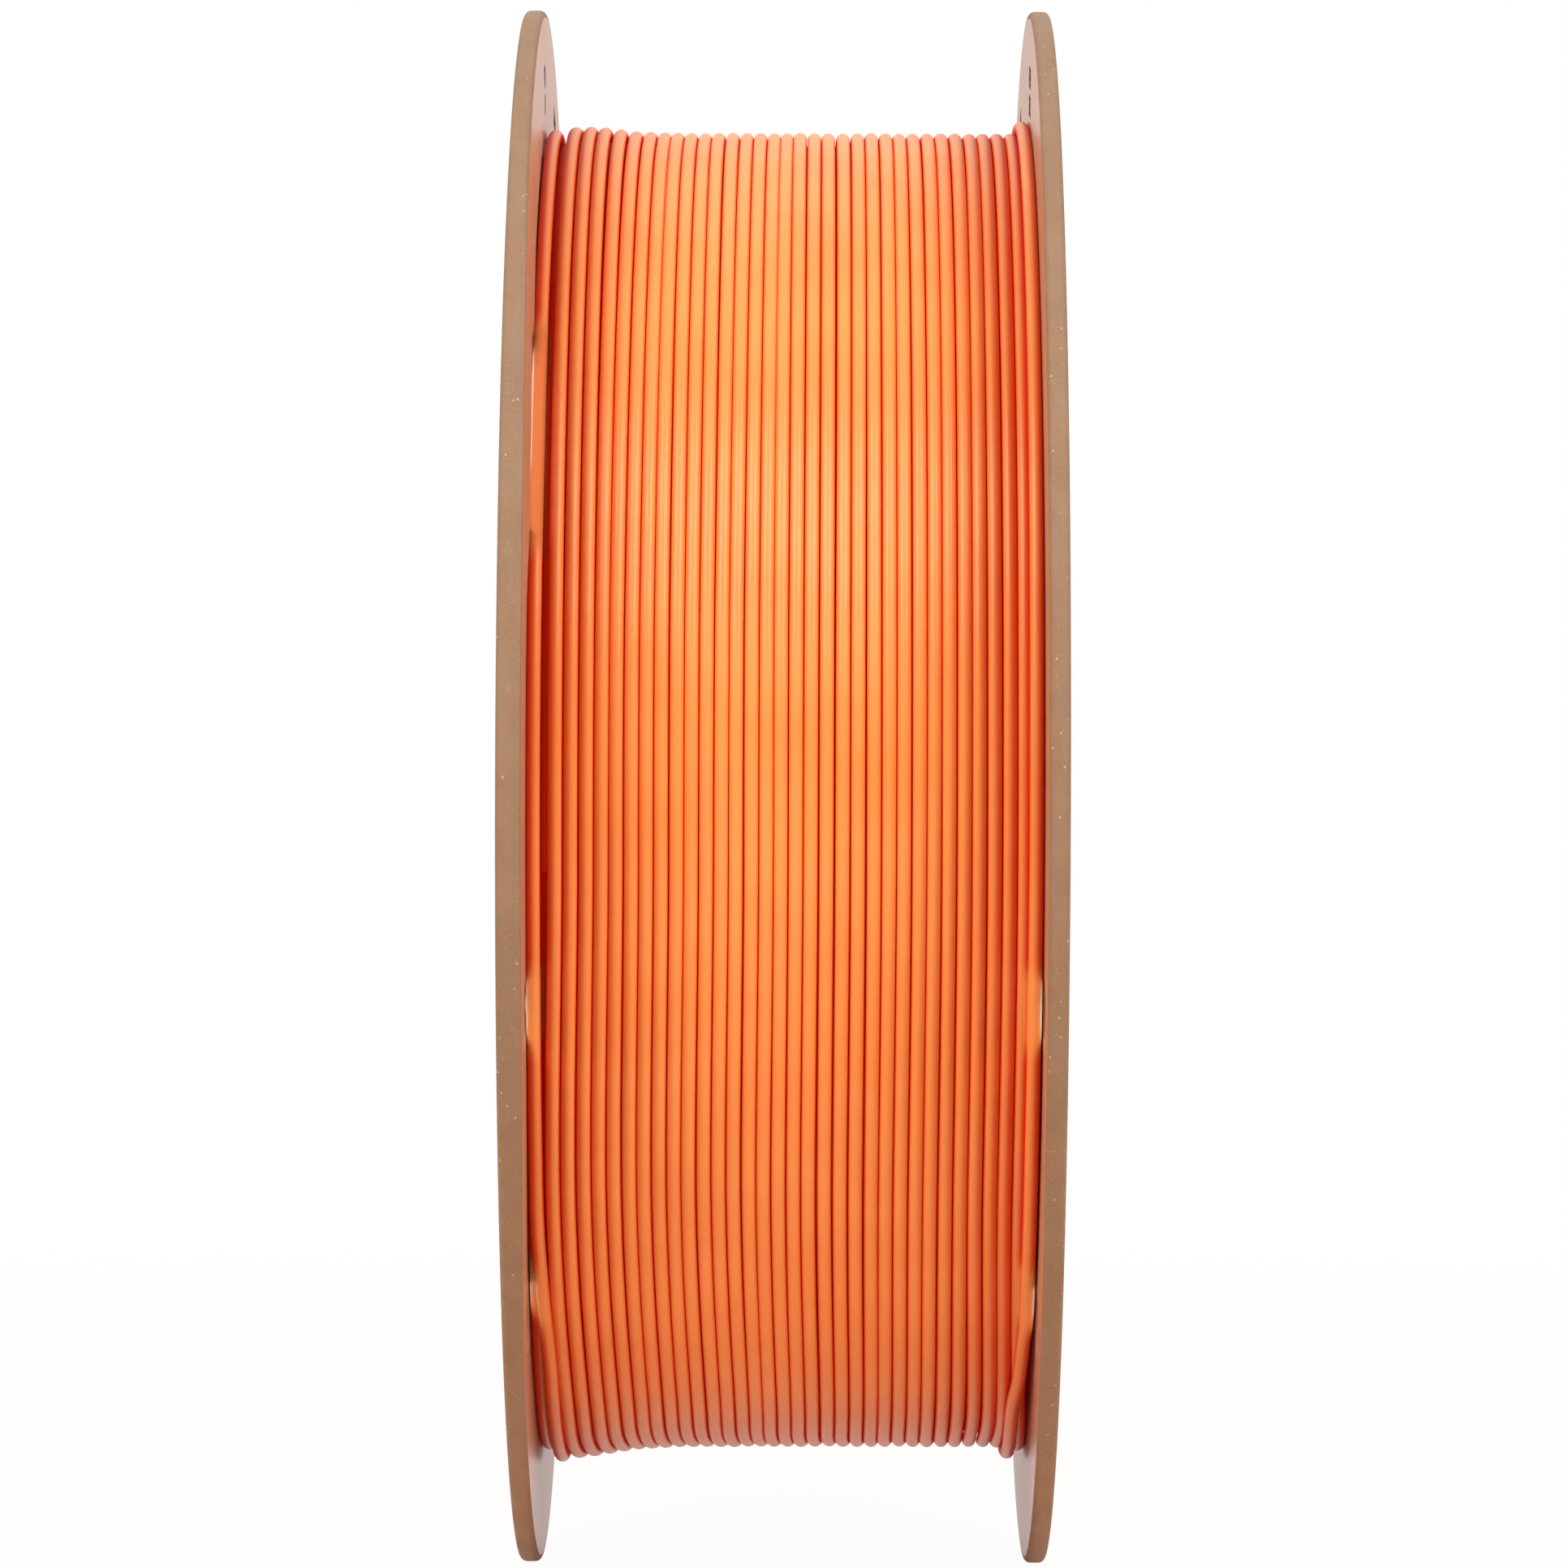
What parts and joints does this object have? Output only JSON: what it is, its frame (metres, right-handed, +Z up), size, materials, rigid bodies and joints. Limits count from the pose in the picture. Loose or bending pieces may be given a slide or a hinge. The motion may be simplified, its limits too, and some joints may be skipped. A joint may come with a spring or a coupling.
{
  "type": "filament spool",
  "caption": "Full cardboard spool of 3-D printer filament: two laminated board flanges on a board core tube, with the strand wound in close turns between them.",
  "frame": {"origin": "centre of the spool, on its spindle axis and midway between the two flanges", "axes": "+X along the spindle axis towards the right flange, +Z up with the spool standing on its rims, -Y towards the picture's camera, so the front view is the picture's view"},
  "size_m": [0.0672, 0.2, 0.2],
  "materials": {
    "flange_board": "matte, sealed tan edge",
    "liner_paper": "matte kraft paper",
    "grey_board": "matte grey board",
    "label_paper": "smooth white sticker",
    "filament": "satin orange"
  },
  "bodies": {
    "root": {"left_flange_board": "flange_board", "left_inner_liner": "liner_paper", "left_outer_liner": "liner_paper", "left_centring_ring": "grey_board", "right_flange_board": "flange_board", "right_inner_liner": "liner_paper", "right_outer_liner": "liner_paper", "right_centring_ring": "grey_board", "left_label": "label_paper", "right_label": "label_paper", "core_tube": "grey_board", "filament_lower_layers": "filament", "filament_outer_layer": "filament"}
  },
  "joints": []
}
